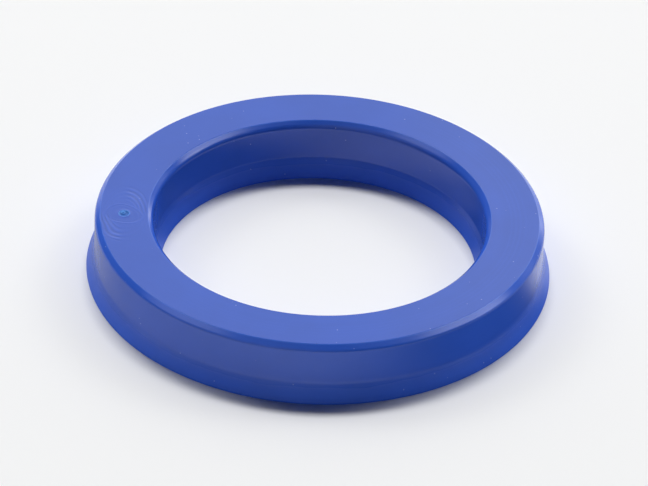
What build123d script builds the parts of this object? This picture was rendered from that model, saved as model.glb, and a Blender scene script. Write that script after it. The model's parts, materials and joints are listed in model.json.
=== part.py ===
"""U cup seal: one moulded polyurethane ring that seals a rod in its groove.

The ring lies on its two lips with the flat heel up, and Z is its axis. One section makes all of it:
a heel block with bevelled corners, and below it two lips that flare towards the rod and towards the
groove floor, with the U open between them. The section is the same on both sides of its middle
radius, so its outer half is drawn once and mirrored. A small round sprue mark is left where the
mould was filled. Lengths are in millimetres and angles in degrees.
"""

import os
from math import asin, atan2, cos, hypot, radians, sin, tan

from build123d import *

# The space in the cylinder that the seal fills
rod_diameter = 50.0
groove_diameter = 70.0

# Heel: a plain block with clearance to the rod and to the groove floor
seal_height = 9.7
heel_clearance = 0.5
heel_bevel = 0.8
heel_bevel_blend = 1.0       # radius that rounds the bevel into the wall

# Lips: free, they stand past the rod and the groove floor, and are squeezed when fitted
lip_interference = 0.7
lip_flare = 22.0             # angle between the lip's outer side and the axis
lip_flare_blend = 5.0        # hollow radius between the wall and the flare
lip_thickness = 3.2          # at the foot, before the bevel into the U
lip_inner_bevel = 0.6        # bevel from the lip's foot into the U

# The U between the lips, open at the foot
u_depth = 4.8
u_root_radius = 1.1

# Sprue mark on the heel: a shallow round dish with a low stub in its middle
sprue_diameter = 1.8
sprue_depth = 0.15
sprue_stub_diameter = 0.8
sprue_stub_height = 0.1      # above the dish, so it stays below the heel
sprue_angle = 183.0          # about Z, from +X

# Worked out from the sizes above
middle_radius = (rod_diameter + groove_diameter) / 4
section_half_width = (groove_diameter - rod_diameter) / 4
heel_half_width = section_half_width - heel_clearance
lip_half_width = section_half_width + lip_interference
u_mouth_half_width = lip_half_width - lip_thickness


def outer_side():
    """Heel middle to foot middle, down the outside of the section. The lip's edge is trimmed sharp."""
    flare_height = (lip_half_width - heel_half_width) / tan(radians(lip_flare))
    return FilletPolyline(
        (0, seal_height),
        (heel_half_width - heel_bevel, seal_height),
        (heel_half_width, seal_height - heel_bevel),
        (heel_half_width, flare_height),
        (lip_half_width, 0),
        (0, 0),
        radius=(0, heel_bevel_blend, lip_flare_blend, 0),
    )


def u_section():
    """What the U takes out: a round root whose tangents run to the mouth, and the inner bevels."""
    mouth = u_mouth_half_width
    root = min(u_root_radius, mouth)
    root_centre = u_depth - root
    flank = atan2(mouth, root_centre) - asin(root / hypot(mouth, root_centre))
    tangent = (root * cos(flank), root_centre + root * sin(flank))
    bevel_start = (mouth - lip_inner_bevel * tan(flank), lip_inner_bevel)
    right = [tangent, bevel_start, (mouth + lip_inner_bevel, 0)]
    left = [(-x, z) for x, z in reversed(right)]
    return Pos(0, root_centre) * Circle(root) + make_face(Polyline(*right, *left, close=True))


def section():
    """The whole section, upright on the XZ plane with its middle at the middle radius."""
    side = outer_side()
    half = make_face(side + Line(side @ 1, side @ 0))
    whole = half + mirror(half, Plane.YZ) - u_section()
    return Plane.XZ * Pos(middle_radius, 0) * whole


def sprue_mark():
    """What the dish takes out of the heel, around its stub."""
    hang = (Align.CENTER, Align.CENTER, Align.MAX)
    stand = (Align.CENTER, Align.CENTER, Align.MIN)
    dish = Cylinder(sprue_diameter / 2, sprue_depth, align=hang)
    stub = Cylinder(sprue_stub_diameter / 2, sprue_stub_height, align=stand)
    place = Rot(0, 0, sprue_angle) * Pos(middle_radius, 0, seal_height)
    return place * (dish - Pos(0, 0, -sprue_depth) * stub)


def seal_ring():
    """The finished ring: the section turned about Z, less the sprue mark."""
    return revolve(section(), Axis.Z) - sprue_mark()


os.makedirs("parts", exist_ok=True)
export_step(seal_ring(), "parts/seal_ring.step")
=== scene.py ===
"""A U cup seal in moulded blue polyurethane, lying on its lips on a white table.

The ring is spun from one section: a flat bevelled heel on top, and two flared lips around a U
below. Directions are given as an azimuth, 0 at the front and 90 on the right, and an elevation,
both in degrees. Sizes are in millimetres, and `mm` turns them into metres.
"""

import json
from math import asin, atan2, cos, exp, hypot, pi, radians, sin, tan

import bmesh
import bpy
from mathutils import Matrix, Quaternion, Vector


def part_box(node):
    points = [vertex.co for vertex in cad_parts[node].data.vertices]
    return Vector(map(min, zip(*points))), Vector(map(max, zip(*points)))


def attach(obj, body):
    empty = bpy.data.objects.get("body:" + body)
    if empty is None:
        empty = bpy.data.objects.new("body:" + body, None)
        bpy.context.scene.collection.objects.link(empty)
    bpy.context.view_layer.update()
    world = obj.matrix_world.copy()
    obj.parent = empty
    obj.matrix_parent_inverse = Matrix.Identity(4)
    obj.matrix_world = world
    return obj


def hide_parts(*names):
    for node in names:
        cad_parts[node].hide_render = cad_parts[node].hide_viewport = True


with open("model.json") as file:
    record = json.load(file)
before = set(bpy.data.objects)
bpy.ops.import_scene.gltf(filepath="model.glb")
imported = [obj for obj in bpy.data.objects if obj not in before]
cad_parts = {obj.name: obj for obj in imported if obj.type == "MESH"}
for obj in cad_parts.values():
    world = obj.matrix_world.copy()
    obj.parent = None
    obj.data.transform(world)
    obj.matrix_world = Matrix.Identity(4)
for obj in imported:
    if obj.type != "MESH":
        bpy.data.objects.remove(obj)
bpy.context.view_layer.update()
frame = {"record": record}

mm = 0.001
mounts = {mount["name"]: mount for mount in frame["record"]["mounts"]}
_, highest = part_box("seal_ring")

# The section, as the solid has it
lip_radius = highest.x / mm
seal_height = highest.z / mm
heel_inner_radius = mounts["rod_bore"]["dims"]["r_mm"]
heel_outer_radius = mounts["heel_outside"]["dims"]["r_mm"]
middle_radius = (heel_inner_radius + heel_outer_radius) / 2
heel_half_width = heel_outer_radius - middle_radius
lip_half_width = lip_radius - middle_radius
heel_bevel_width = 0.87
heel_bevel_height = 0.78
heel_bevel_blend = 0.75
inner_bevel_blend = 1.3
lip_flare = radians(21)
lip_flare_blend = 2.0
inner_flare = radians(20.5)
inner_flare_blend = 0.8
lip_thickness = 3.2
lip_inner_bevel = 0.6
u_depth = 4.8
u_root_radius = 1.1
root_share = 0.999  # of that radius, which leaves a hair of flat between the root's two arcs

# The radius that the mould leaves on each kind of edge
heel_edge = 0.22
moulded_edge = 0.08
lip_edge = 0.10

# How finely the ring is divided. An arc of more than the smallest blend's radius has finer steps.
ring_steps = 400
heel_rows = 20
fewest_arc_steps = 3
smallest_blend = 0.5
blend_step = radians(4)
edge_step = radians(12)
hold_loop = 0.02  # how close a loop stands to each end of a flat face, to hold it flat

# The sprue mark, where the mould was filled: a dish with a raised rim, and in it a torn, hollow stub
sprue_angle = radians(183)
sprue = Vector((middle_radius * cos(sprue_angle), middle_radius * sin(sprue_angle), seal_height))
sprue_zone = 1.9
sprue_cuts = 7
sprue_radius = 0.9
dish_depth = 0.16
dish_share = 0.76  # of the sprue's radius, where the dish's wall stands
dish_steepness = 14
rim_height = 0.045
rim_tilt = 0.02
rim_spread = 0.24
stub_place = (-0.12, 0.28)
stub_height = 0.20
stub_spread = 0.38
hollow_depth = 0.18
hollow_spread = 0.17
facing_up = 0.99  # the least height of a normal on the heel's flat face
on_the_level = 0.01

# Where the camera stands, from the point that it looks at on the heel
camera_aim = Vector((0.78, -7.41, seal_height))
camera_elevation = 34.84
camera_distance = 854.6
camera_roll = 2.23
camera_lens = 312.1
camera_sensor = 36.0

# The body's colour at shares of the seal's height, with painted light in it: paler on the lips and the
# bevels, a painted glow for light that bleeds through where they are thin, and paler still at the heel's
# rounded edge, a painted highlight
body_colours_with_painted_light = [
    (0.11, "#3460cd"),
    (0.27, "#315bc4"),
    (0.38, "#2d54b6"),
    (0.90, "#2d54b6"),
    (0.925, "#315cc6"),
    (0.988, "#315cc6"),
    (0.993, "#3f6dd4"),
    (0.9975, "#3f6dd4"),
    (0.9995, "#2e56ba"),
]
# A whitish painted sheen, a painted reflection that the heel takes on towards its right
painted_sheen_white = "#c3c6d6"
# The sprue's own greener blues, in its hollow and on its crests, where the paler crest colour is also a
# painted highlight
torn_hollow = "#2760b4"
torn_crest_highlight_colour = "#4288dc"
speck_white = "#a9bce9"

# The skin's patterns: clouds 11 mm across, a ripple of 4 mm, and one speck in every 2 mm
cloud_scale = 0.09
ripple_scale = 0.25
speck_scale = 0.5
tone_swing = 0.04
wander = 0.4
flow_strength = 0.13
ring_strength = 0.10
painted_sheen_strength = 0.035
speck_strength = 0.55
relief_depth = 0.035

# The gloss: a polished mould's on the body, and duller low down on the lips
polyurethane_ior = 1.54
body_roughness = 0.16
lip_roughness = 0.33
torn_roughness = 0.3
roughness_swing = 0.02
body_specular = 0.5
lip_specular = 0.27

# The flow's lines: how each set is squeezed across and along the heel, what is left of it outside
# two opposite corners, then each line's distance from the sprue, its half width and its strength
flow_lines = [
    ((1.0, 1.1, 0), 0.6, [(2.75, 0.30, 0.7), (2.35, 0.30, -0.5), (1.5, 0.8, -0.4)]),
    ((1.9, 1.0, 0), 0.12, [(3.9, 0.4, 0.5), (4.35, 0.4, -0.5), (4.9, 0.45, 0.8), (5.4, 0.45, -0.8),
                           (5.95, 0.45, 1.0), (6.45, 0.45, -0.9), (7.0, 0.4, 0.6), (7.4, 0.4, -0.4)]),
]

# Faint rings that a turned mould leaves on the heel: each one's radius, half width and strength
turned_rings = [
    (27.6, 1.4, 0.35),
    (29.4, 0.25, 0.45),
    (30.1, 0.3, 0.35),
    (30.8, 0.25, 0.5),
    (31.6, 0.3, 0.3),
]

# What the gloss sees around the ring: azimuth, elevation, radii of a panel's core and of its soft
# edge, all in degrees, and radiance. The rest of the room glows faintly.
panels = [
    (180, 35, 20, 45, 1.05),
    (-35, 22, 15, 55, 0.4),
    (96, 23, 3, 16, 1.7),
    (61, 34, 3, 14, 0.7),
    (-80, 45, 0, 23, 1.25),
    (91, 41, 0, 25, 3.05),
    (62, 53, 0, 9, 0.45),
    (42, 57, 3, 14, 0.25),
    (130, 15, 0, 24, 0.40),
    (125, 19, 0, 8, 0.45),
    (153, -3, 6, 14, 2.1),
    (148, 36, 5, 15, 1.3),
    (-145, 52, 5, 20, 1.1),
    (146, 3, 3, 11, 0.8),
    (-152, -2, 2, 16, 0.35),
]
room_glow = 0.03

# What lights the table besides the key, given in the same way, and how bright the room is in front
# of the ring and the pale wall behind it
side_lights = [
    (126, 38, 4, 12, 4.55),
    (-126, 38, 4, 12, 4.55),
    (132, 52, 0, 16, 1.65),
    (-132, 52, 0, 16, 1.65),
]
dim_front = 0.003
pale_wall = 0.86

# Dark patches painted on the table that only the gloss sees, a painted shade in the ring's reflections:
# each one's place, the radii of its core and of its soft edge, and its depth. One with a negative depth
# is a hole in the others.
gloss_shade_patches = [
    (34, -24, 6.5, 46, 1.0),
    (-9, 16.5, 3, 12.5, 1.0),
    (17, 17, 3, 13, 0.65),
    (-16, 16, 4, 9, 0.8),
    (39, 3, 5, 14, -1.5),
    (-42, -2, 6, 38, 0.4),
    (23, 12, 3, 8, 0.9),
    (-23, 12, 3, 8, 0.9),
]

# Lamps: azimuth, elevation, width and height as the ring sees them, radiance, and distance in metres
key_lamp = (180, 67, 24, 8.5, 31.9, 2.5)
fill_lamps = {
    "fill_front": (0, -5, 60, 40, 0.93, 0.9),
    "fill_left": (-90, -5, 60, 40, 1.2, 0.9),
    "fill_right": (90, -5, 60, 40, 1.2, 0.9),
}
fill_colour = (0.5, 0.75, 1.0)
light_colour = (0.98, 0.99, 1, 1)
backdrop_colour = (0.91, 0.915, 0.93, 1)

card_white = (0.9, 0.9, 0.9, 1)
# The black of the patches, a painted shade in the ring's reflections
reflection_shade_black = (0, 0, 0, 1)
table_radius = 3000
table_sides = 96


def direction(azimuth, elevation):
    """The unit vector that points that way from the ring."""
    a, e = radians(azimuth), radians(elevation)
    return Vector((sin(a) * cos(e), -cos(a) * cos(e), sin(e)))


def linear(hex_colour):
    """An sRGB hex colour as linear RGBA."""
    channels = [int(hex_colour[i:i + 2], 16) / 255 for i in (1, 3, 5)]
    return [c / 12.92 if c <= 0.04045 else ((c + 0.055) / 1.055) ** 2.4 for c in channels] + [1.0]


def add_node(tree, kind, settings=None, **links):
    """Adds a node, sets its properties, and sets each named input or links it to a socket or a node."""
    node = tree.nodes.new("ShaderNode" + kind)
    for name, value in (settings or {}).items():
        setattr(node, name, value)
    for name, value in links.items():
        key = int(name[1:]) if name[0] == "i" and name[1:].isdigit() else name.replace("_", " ")
        if isinstance(value, bpy.types.Node):
            value = value.outputs[0]
        if isinstance(value, bpy.types.NodeSocket):
            tree.links.new(value, node.inputs[key])
        else:
            node.inputs[key].default_value = value
    return node


def add_object(bm, name):
    """Puts a finished shape into the scene under that name."""
    mesh = bpy.data.meshes.new(name)
    bm.to_mesh(mesh)
    bm.free()
    piece = bpy.data.objects.new(name, mesh)
    bpy.context.scene.collection.objects.link(piece)
    return piece


# ---------------------------------------------------------------- the ring

def side_corners(bevel_blend, flare, flare_blend):
    """One side's corners, from the heel down around the lip to the U's root."""
    lip_reach = lip_edge * (tan((pi / 2 + flare) / 2) - 1)
    lip_corner = lip_half_width + lip_reach
    flare_height = (lip_corner - heel_half_width) / tan(flare)
    mouth = lip_half_width - lip_thickness
    root_centre = u_depth - u_root_radius
    flank = atan2(mouth, root_centre) - asin(u_root_radius / hypot(mouth, root_centre))
    root_corner = u_root_radius / tan((pi / 2 + flank) / 2)
    return [
        (heel_half_width - heel_bevel_width, seal_height, heel_edge),
        (heel_half_width, seal_height - heel_bevel_height, bevel_blend),
        (heel_half_width, flare_height, flare_blend),
        (lip_corner, 0, lip_edge),
        (mouth + lip_inner_bevel, 0, moulded_edge),
        (mouth - lip_inner_bevel * tan(flank), lip_inner_bevel, moulded_edge),
        (root_corner, u_depth, u_root_radius * root_share),
    ]


def section_corners():
    """The section's corners in order, each with its distance out, its height and its edge radius."""
    outer = side_corners(heel_bevel_blend, lip_flare, lip_flare_blend)
    inner = side_corners(inner_bevel_blend, inner_flare, inner_flare_blend)
    return outer + [(-x, z, radius) for x, z, radius in reversed(inner)]


def add_corner(bm, before, corner, after, radius):
    """Rounds one corner of the section with an arc, and returns the arc's two end vertices."""
    back = (before - corner).normalized()
    ahead = (after - corner).normalized()
    turn = pi - back.angle(ahead)
    first = bm.verts.new(corner + back * radius * tan(turn / 2))
    centre = corner + (back + ahead).normalized() * radius / cos(turn / 2)
    steps = max(fewest_arc_steps, round(turn / (blend_step if radius > smallest_blend else edge_step)))
    arc = bmesh.ops.spin(bm, geom=[first], cent=centre, axis=ahead.cross(back), angle=turn, steps=steps)
    last = next(item for item in arc["geom_last"] if isinstance(item, bmesh.types.BMVert))
    return first, last


def add_run(bm, start, end):
    """Joins two arcs with a straight edge, cut by a loop close to each end, and returns its middle."""
    length = (end.co - start.co).length
    edge = bm.edges.new((start, end))
    if length < 3 * hold_loop:
        return edge
    edge, near = bmesh.utils.edge_split(edge, start, hold_loop / length)
    middle = next(e for e in near.link_edges if end in e.verts)
    bmesh.utils.edge_split(middle, end, hold_loop / (length - hold_loop))
    return next(e for e in near.link_edges if start not in e.verts)


def add_section(bm):
    """Draws the closed section on the XZ plane. Its first run is the heel, divided into rows."""
    corners = [(Vector((middle_radius + x, 0, z)), radius) for x, z, radius in section_corners()]
    count = len(corners)
    points = [point for point, _ in corners]
    arcs = [add_corner(bm, points[i - 1], points[i], points[(i + 1) % count], corners[i][1])
            for i in range(count)]
    runs = [add_run(bm, arcs[i - 1][1], arcs[i][0]) for i in range(count)]
    bmesh.ops.subdivide_edges(bm, edges=runs[:1], cuts=heel_rows - 1)


def sprue_height(x, y):
    """How far the heel stands up at a place beside the sprue's centre."""
    share = hypot(x, y) / sprue_radius
    dish = -dish_depth / (1 + exp((share - dish_share) * dish_steepness))
    rim = (rim_height + rim_tilt * x) * exp(-((share - 1) / rim_spread) ** 2)
    from_stub = hypot(x - stub_place[0], y - stub_place[1])
    stub = stub_height * exp(-(from_stub / stub_spread) ** 4)
    hollow = hollow_depth * exp(-(from_stub / hollow_spread) ** 2)
    return dish + rim + (stub - hollow)


def mark_sprue(bm):
    """Divides the heel finely around the sprue and presses the mark into it."""
    near = [face for face in bm.faces
            if (face.calc_center_median() - sprue).length < sprue_zone and face.normal.z > facing_up]
    edges = list(dict.fromkeys(edge for face in near for edge in face.edges))
    bmesh.ops.subdivide_edges(bm, edges=edges, cuts=sprue_cuts, use_grid_fill=True)
    for vert in bm.verts:
        offset = vert.co - sprue
        if offset.length < sprue_zone and abs(offset.z) < on_the_level:
            vert.co.z += sprue_height(offset.x, offset.y)


def make_ring():
    """The whole seal: the section spun round the axis, with the sprue mark pressed in."""
    bm = bmesh.new()
    add_section(bm)
    bmesh.ops.spin(bm, geom=bm.verts[:] + bm.edges[:], axis=(0, 0, 1), angle=2 * pi,
                   steps=ring_steps, use_merge=True)
    bmesh.ops.recalc_face_normals(bm, faces=bm.faces[:])
    bm.normal_update()
    mark_sprue(bm)
    bmesh.ops.scale(bm, vec=(mm, mm, mm), verts=bm.verts[:])
    for face in bm.faces:
        face.smooth = True
    return add_object(bm, "seal_ring_moulded")


# ---------------------------------------------------------------- materials

# Settings that many nodes share
soft = {"interpolation_type": "SMOOTHSTEP"}
colours = {"data_type": "RGBA"}
plus = {"operation": "ADD"}
minus = {"operation": "SUBTRACT"}
times = {"operation": "MULTIPLY"}
times_plus = {"operation": "MULTIPLY_ADD"}


def new_material(name):
    """A material of that name, and its empty node tree."""
    material = bpy.data.materials.new(name)
    material.use_nodes = True
    material.node_tree.nodes.clear()
    return material, material.node_tree


def lines(tree, value, rows):
    """Thin soft lines where a value passes each row's place: place, half width and strength."""
    total = 0.0
    for place, half_width, strength in rows:
        beyond = add_node(tree, "Math", minus, i0=value, i1=place)
        away = add_node(tree, "Math", {"operation": "ABSOLUTE"}, i0=beyond)
        line = add_node(tree, "MapRange", soft, Value=away, From_Min=0.0, From_Max=half_width,
                        To_Min=strength, To_Max=0.0)
        total = add_node(tree, "Math", plus, i0=line, i1=total)
    return total


def flow_marks(tree, place, wandering):
    """The lines that the melt left on the heel as it spread from the sprue."""
    from_sprue = add_node(tree, "VectorMath", minus, i0=place, i1=sprue)
    axes = add_node(tree, "SeparateXYZ", Vector=from_sprue)
    diagonal = add_node(tree, "Math", times, i0=axes.outputs["X"], i1=axes.outputs["Y"])
    total = 0.0
    for squeeze, least, rows in flow_lines:
        squeezed = add_node(tree, "VectorMath", times, i0=from_sprue, i1=squeeze)
        away = add_node(tree, "VectorMath", {"operation": "LENGTH"}, i0=squeezed).outputs["Value"]
        drawn = lines(tree, add_node(tree, "Math", plus, i0=away, i1=wandering), rows)
        corners = add_node(tree, "MapRange", soft, Value=diagonal, From_Min=-1.0, From_Max=5.0,
                           To_Min=least, To_Max=1.0)
        total = add_node(tree, "Math", times_plus, i0=drawn, i1=corners, i2=total)
    return total


def moulded_polyurethane():
    """Injection-moulded polyurethane from a polished mould: opaque blue, smooth, with a soft gloss."""
    material, tree = new_material("injection_moulded_polyurethane")
    metres = add_node(tree, "TexCoord").outputs["Object"]
    place = add_node(tree, "VectorMath", {"operation": "SCALE"}, i0=metres, Scale=1 / mm)
    axes = add_node(tree, "SeparateXYZ", Vector=place)
    height = axes.outputs["Z"]

    # The body's colour by height carries painted light: a painted glow on the lips and bevels, and a
    # painted highlight at the heel's edge
    height_share = add_node(tree, "Math", {"operation": "DIVIDE"}, i0=height, i1=seal_height)
    body = add_node(tree, "ValToRGB", Fac=height_share)
    while len(body.color_ramp.elements) < len(body_colours_with_painted_light):
        body.color_ramp.elements.new(0.5)
    for element, (share, colour) in zip(body.color_ramp.elements, body_colours_with_painted_light):
        element.position = share
        element.color = linear(colour)

    # Broad clouds of a tone, and a ripple that makes the flow's lines wander
    cloud = add_node(tree, "TexNoise", Vector=place, Scale=cloud_scale, Detail=3.0).outputs["Fac"]
    clouded = add_node(tree, "MapRange", soft, Value=cloud, From_Min=0.3, From_Max=0.7,
                       To_Min=1 - tone_swing, To_Max=1 + tone_swing)
    ripple = add_node(tree, "TexNoise", Vector=place, Scale=ripple_scale, Detail=0.0).outputs["Fac"]
    wandering = add_node(tree, "MapRange", soft, Value=ripple, From_Min=0.2, From_Max=0.8,
                         To_Min=-wander, To_Max=wander)

    # The heel has a painted sheen, a whitish painted reflection that grows to the right, and its rings
    # show there and in front
    on_heel = add_node(tree, "MapRange", soft, Value=height, From_Min=seal_height - 0.1,
                       From_Max=seal_height - 0.02)
    to_the_right = add_node(tree, "MapRange", soft, Value=axes.outputs["X"], From_Min=4.0, From_Max=28.0)
    painted_sheen_area = add_node(tree, "Math", times, i0=to_the_right, i1=on_heel)
    to_the_front = add_node(tree, "MapRange", soft, Value=axes.outputs["Y"], From_Min=-26.0,
                            From_Max=-10.0, To_Min=0.6, To_Max=0.0)
    in_front = add_node(tree, "Math", times, i0=to_the_front, i1=on_heel)
    rings_shown = add_node(tree, "Math", {"operation": "MAXIMUM"}, i0=painted_sheen_area, i1=in_front)
    level_place = add_node(tree, "VectorMath", times, i0=place, i1=(1, 1, 0))
    radius = add_node(tree, "VectorMath", {"operation": "LENGTH"}, i0=level_place).outputs["Value"]
    rings = add_node(tree, "Math", times, i0=lines(tree, radius, turned_rings), i1=rings_shown)
    faint_rings = add_node(tree, "Math", times, i0=rings, i1=ring_strength)
    flow = add_node(tree, "Math", times, i0=flow_marks(tree, place, wandering), i1=on_heel)
    streaks = add_node(tree, "Math", times_plus, i0=flow, i1=flow_strength, i2=faint_rings)
    tone = add_node(tree, "Math", plus, i0=clouded, i1=streaks)
    toned = add_node(tree, "HueSaturation", Value=tone, Color=body)
    # The heel is mixed towards the whitish colour on its right: a painted reflection
    painted_sheen_share = add_node(tree, "Math", times, i0=painted_sheen_area, i1=painted_sheen_strength)
    with_painted_sheen = add_node(tree, "Mix", colours, i0=painted_sheen_share, i6=toned, i7=linear(painted_sheen_white)).outputs[2]

    # The broken sprue is a greener blue of its own, and paler on its crests by height, a painted
    # highlight
    crest_highlight_share = add_node(tree, "MapRange", soft, Value=height, From_Min=seal_height - 0.14,
                     From_Max=seal_height + 0.05)
    torn = add_node(tree, "Mix", colours, i0=crest_highlight_share, i6=linear(torn_hollow), i7=linear(torn_crest_highlight_colour))
    away = add_node(tree, "VectorMath", {"operation": "DISTANCE"}, i0=place, i1=sprue).outputs["Value"]
    at_sprue = add_node(tree, "MapRange", soft, Value=away, From_Min=0.70, From_Max=1.02,
                        To_Min=1.0, To_Max=0.0)
    with_sprue = add_node(tree, "Mix", colours, i0=at_sprue, i6=with_painted_sheen, i7=torn.outputs[2]).outputs[2]

    # Specks of dust and of unmixed white, a quarter of a millimetre across
    grains = add_node(tree, "TexVoronoi", Vector=place, Scale=speck_scale).outputs["Distance"]
    speck = add_node(tree, "MapRange", soft, Value=grains, From_Min=0.03, From_Max=0.06,
                     To_Min=speck_strength, To_Max=0.0)
    specked = add_node(tree, "Mix", colours, i0=speck, i6=with_sprue,
                       i7=linear(speck_white)).outputs[2]

    # Smooth on the body, duller on the lips, and dullest where the sprue tore
    matt = add_node(tree, "MapRange", soft, Value=height, From_Min=1.4, From_Max=3.9,
                    To_Min=lip_roughness, To_Max=body_roughness)
    torn_matt = add_node(tree, "Math", times_plus, i0=at_sprue, i1=torn_roughness, i2=matt)
    uneven = add_node(tree, "MapRange", soft, Value=cloud, From_Min=0.3, From_Max=0.7,
                      To_Min=-roughness_swing, To_Max=roughness_swing)
    roughness = add_node(tree, "Math", plus, i0=torn_matt, i1=uneven)
    specular = add_node(tree, "MapRange", soft, Value=height, From_Min=1.0, From_Max=3.5,
                        To_Min=lip_specular, To_Max=body_specular)
    raised = add_node(tree, "Math", plus, i0=flow, i1=speck)
    relief = add_node(tree, "Bump", Height=raised, Distance=relief_depth * mm)
    shader = add_node(tree, "BsdfPrincipled", Base_Color=specked, Roughness=roughness,
                      IOR=polyurethane_ior, Specular_IOR_Level=specular, Normal=relief)
    add_node(tree, "OutputMaterial", Surface=shader)
    return material


def table_card():
    """Matt white card that spreads the light evenly. Dark patches are painted on it for the gloss alone,
    a painted shade in the ring's reflections.
    """
    material, tree = new_material("white_card")
    place = add_node(tree, "TexCoord").outputs["Object"]
    left_bare = 1.0
    for x, y, core, edge, depth in gloss_shade_patches:
        away = add_node(tree, "VectorMath", {"operation": "DISTANCE"}, i0=place, i1=(x * mm, y * mm, 0))
        bare = add_node(tree, "MapRange", soft, Value=away.outputs["Value"], From_Min=core * mm,
                        From_Max=edge * mm, To_Min=1 - depth)
        left_bare = add_node(tree, "Math", times, i0=bare, i1=left_bare)
    covered = add_node(tree, "Math", minus, i0=1.0, i1=left_bare)
    # The patches darken the card for glossy rays alone: painted shade in what the ring reflects
    path = add_node(tree, "LightPath")
    share = add_node(tree, "Math", times, i0=covered, i1=path.outputs["Is Glossy Ray"])
    card = add_node(tree, "BsdfDiffuse", Color=card_white)
    painted_reflection_shade = add_node(tree, "BsdfDiffuse", Color=reflection_shade_black)
    surface = add_node(tree, "MixShader", i0=share, i1=card, i2=painted_reflection_shade)
    add_node(tree, "OutputMaterial", Surface=surface)
    return material


# ---------------------------------------------------------------- the stage

def add_table():
    """A flat white table that reaches past the view from every side."""
    bm = bmesh.new()
    bmesh.ops.create_circle(bm, cap_ends=True, segments=table_sides, radius=table_radius * mm)
    table = add_object(bm, "table")
    table.data.materials.append(table_card())


def add_softbox(name, azimuth, elevation, width, height, radiance, distance):
    """A rectangular lamp that faces the ring and shows in no gloss."""
    lamp = bpy.data.lights.new(name, "AREA")
    lamp.shape = "RECTANGLE"
    lamp.size = 2 * distance * tan(radians(width) / 2)
    lamp.size_y = 2 * distance * tan(radians(height) / 2)
    lamp.energy = pi * radiance * lamp.size * lamp.size_y
    box = bpy.data.objects.new(name, lamp)
    box.location = direction(azimuth, elevation) * distance
    box.rotation_mode = "QUATERNION"
    box.rotation_quaternion = direction(azimuth, elevation).to_track_quat("Z", "Y")
    box.visible_camera = False
    box.visible_glossy = False
    bpy.context.scene.collection.objects.link(box)
    return box


def add_fill(name, ring):
    """A blue lamp for the ring alone: the light that bleeds through its walls."""
    box = add_softbox(name, *fill_lamps[name])
    box.data.color = fill_colour
    alone = bpy.data.collections.new(name)
    alone.objects.link(ring)
    box.light_linking.receiver_collection = alone
    box.light_linking.blocker_collection = alone


def add_panels(tree, way, glow, rows):
    """Adds soft round panels to a glow, seen in the directions that `way` gives."""
    for azimuth, elevation, core, edge, radiance in rows:
        towards = add_node(tree, "VectorMath", {"operation": "DOT_PRODUCT"}, i0=way,
                           i1=direction(azimuth, elevation))
        panel = add_node(tree, "MapRange", soft, Value=towards.outputs["Value"],
                         From_Min=cos(radians(edge)), From_Max=cos(radians(core)), To_Max=radiance)
        glow = add_node(tree, "Math", plus, i0=panel, i1=glow)
    return glow


def light_room():
    """White where the camera looks. The gloss sees the panels, and the rest is lit from the sides."""
    world = bpy.data.worlds.new("studio")
    bpy.context.scene.world = world
    world.use_nodes = True
    tree = world.node_tree
    tree.nodes.clear()
    way = add_node(tree, "TexCoord").outputs["Generated"]
    axes = add_node(tree, "SeparateXYZ", Vector=way)
    wall = add_node(tree, "MapRange", soft, Value=axes.outputs["Y"], From_Min=0.1, From_Max=0.7,
                    To_Min=dim_front, To_Max=pale_wall)
    gloss = add_node(tree, "Background", Color=light_colour,
                     Strength=add_panels(tree, way, room_glow, panels))
    light = add_node(tree, "Background", Color=light_colour,
                     Strength=add_panels(tree, way, wall, side_lights))
    backdrop = add_node(tree, "Background", Color=backdrop_colour, Strength=1.0)
    path = add_node(tree, "LightPath")
    lit = add_node(tree, "MixShader", i0=path.outputs["Is Glossy Ray"], i1=light, i2=gloss)
    seen = add_node(tree, "MixShader", i0=path.outputs["Is Camera Ray"], i1=lit, i2=backdrop)
    add_node(tree, "OutputWorld", Surface=seen)


def add_camera():
    """Looks down on the ring from the front through a long lens."""
    data = bpy.data.cameras.new("camera")
    data.lens = camera_lens
    data.sensor_width = camera_sensor
    camera = bpy.data.objects.new("camera", data)
    towards = direction(0, camera_elevation)
    camera.location = (camera_aim + towards * camera_distance) * mm
    camera.rotation_mode = "QUATERNION"
    level = (-towards).to_track_quat("-Z", "Y")
    camera.rotation_quaternion = level @ Quaternion((0, 0, 1), radians(camera_roll))
    bpy.context.scene.collection.objects.link(camera)
    bpy.context.scene.camera = camera


add_camera()
add_table()
light_room()
add_softbox("key", *key_lamp)

ring = make_ring()
ring.data.materials.append(moulded_polyurethane())
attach(ring, "root")
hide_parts("seal_ring")

for name in fill_lamps:
    add_fill(name, ring)

bpy.context.scene.view_settings.view_transform = "Standard"
